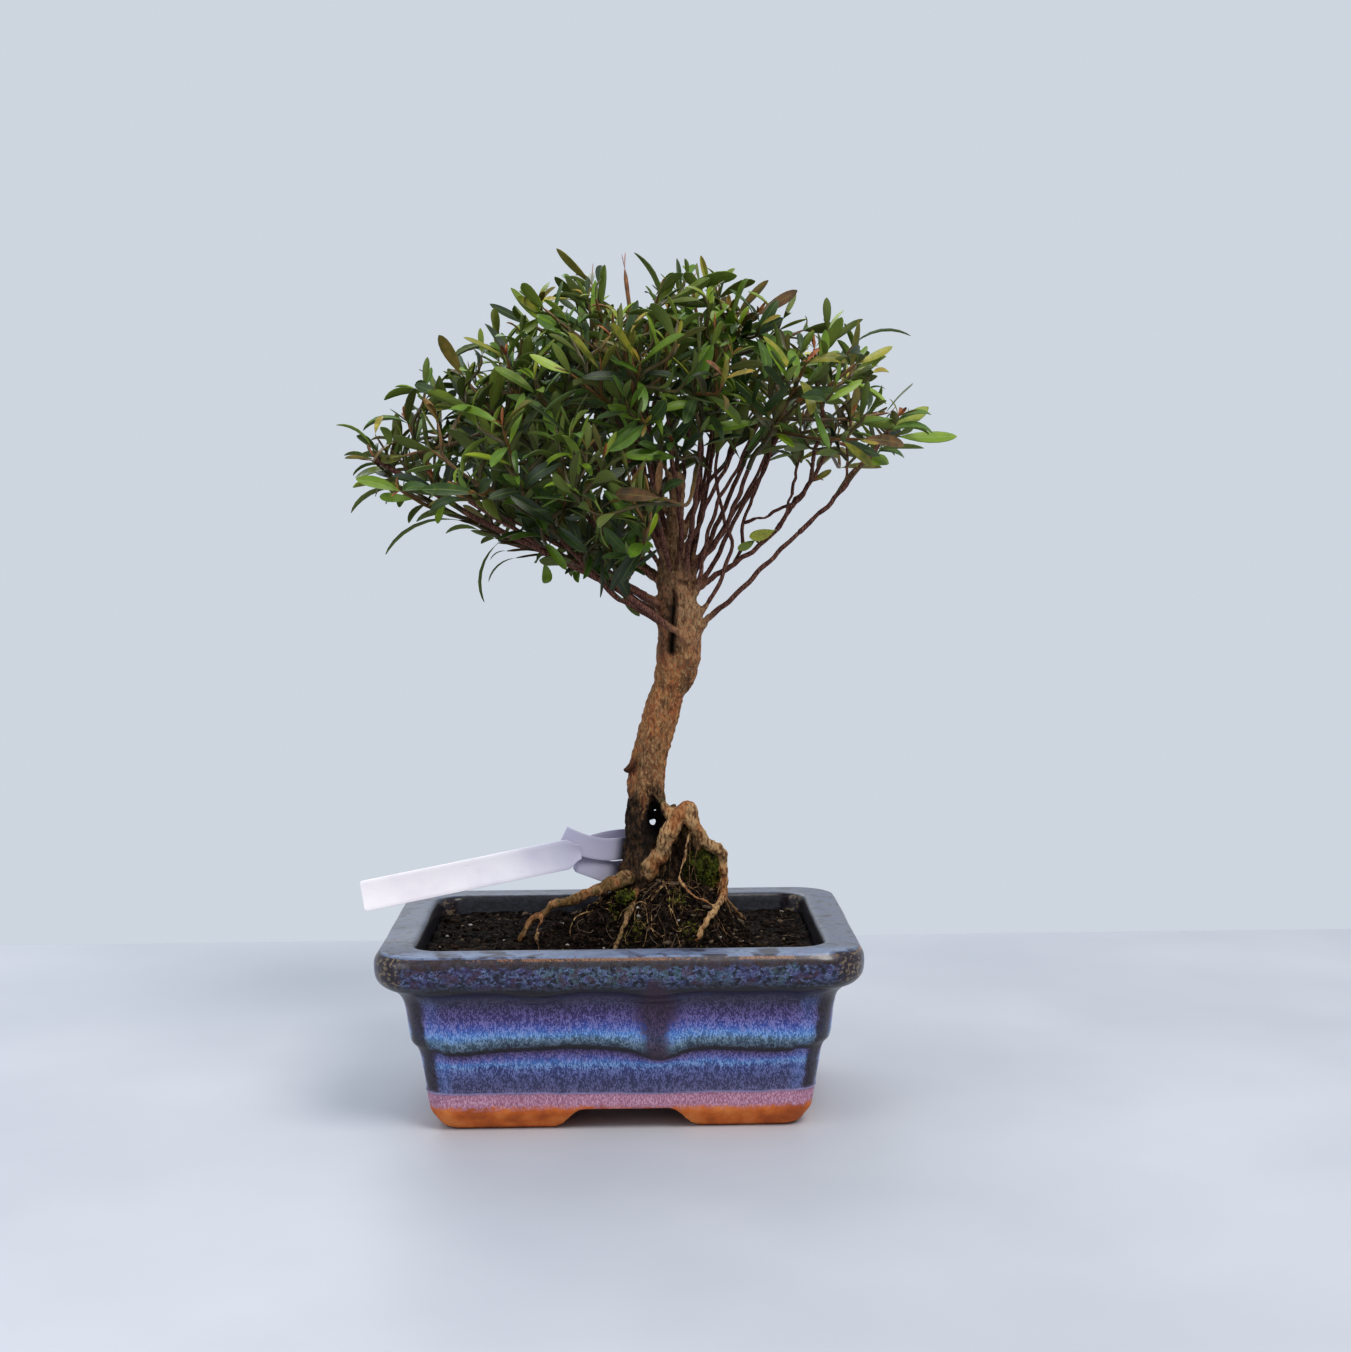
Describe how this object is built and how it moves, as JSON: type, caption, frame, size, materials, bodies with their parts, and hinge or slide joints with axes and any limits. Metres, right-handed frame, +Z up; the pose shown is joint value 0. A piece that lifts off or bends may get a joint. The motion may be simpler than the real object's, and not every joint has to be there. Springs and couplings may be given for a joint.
{
  "type": "syzygium bonsai in a glazed pot",
  "caption": "Small umbrella-crowned broadleaf bonsai with a leaning trunk and exposed arching roots, in a two-tiered glazed rectangular pot on corner feet.",
  "frame": {"origin": "bottom centre of the bounding box, at the level of the pot's feet", "axes": "+X to the right and +Z up, seen from the pot's long front, which faces -Y"},
  "size_m": [0.2484, 0.2134, 0.3624],
  "materials": {
    "glaze": "glossy running glaze, purple, violet and bright blue, over bare terracotta feet",
    "soil": "dark fibrous compost",
    "mesh_plastic": "black plastic mesh",
    "bark": "rough fissured orange-brown bark",
    "leaves": "glossy green leaves with red-brown new shoots",
    "moss": "fine green moss",
    "label_plastic": "plain white flexible label"
  },
  "bodies": {
    "root": {"pot": "glaze", "soil": "soil", "drain_mesh_left": "mesh_plastic", "drain_mesh_right": "mesh_plastic", "tree": "bark", "spray_01": "leaves", "spray_02": "leaves", "spray_03": "leaves", "spray_04": "leaves", "spray_05": "leaves", "spray_06": "leaves", "spray_07": "leaves", "spray_08": "leaves", "spray_09": "leaves", "spray_10": "leaves", "spray_11": "leaves", "spray_12": "leaves", "spray_13": "leaves", "spray_14": "leaves", "spray_15": "leaves", "spray_16": "leaves", "moss_arch": "moss", "moss_foot": "moss", "label": "label_plastic"}
  },
  "joints": []
}
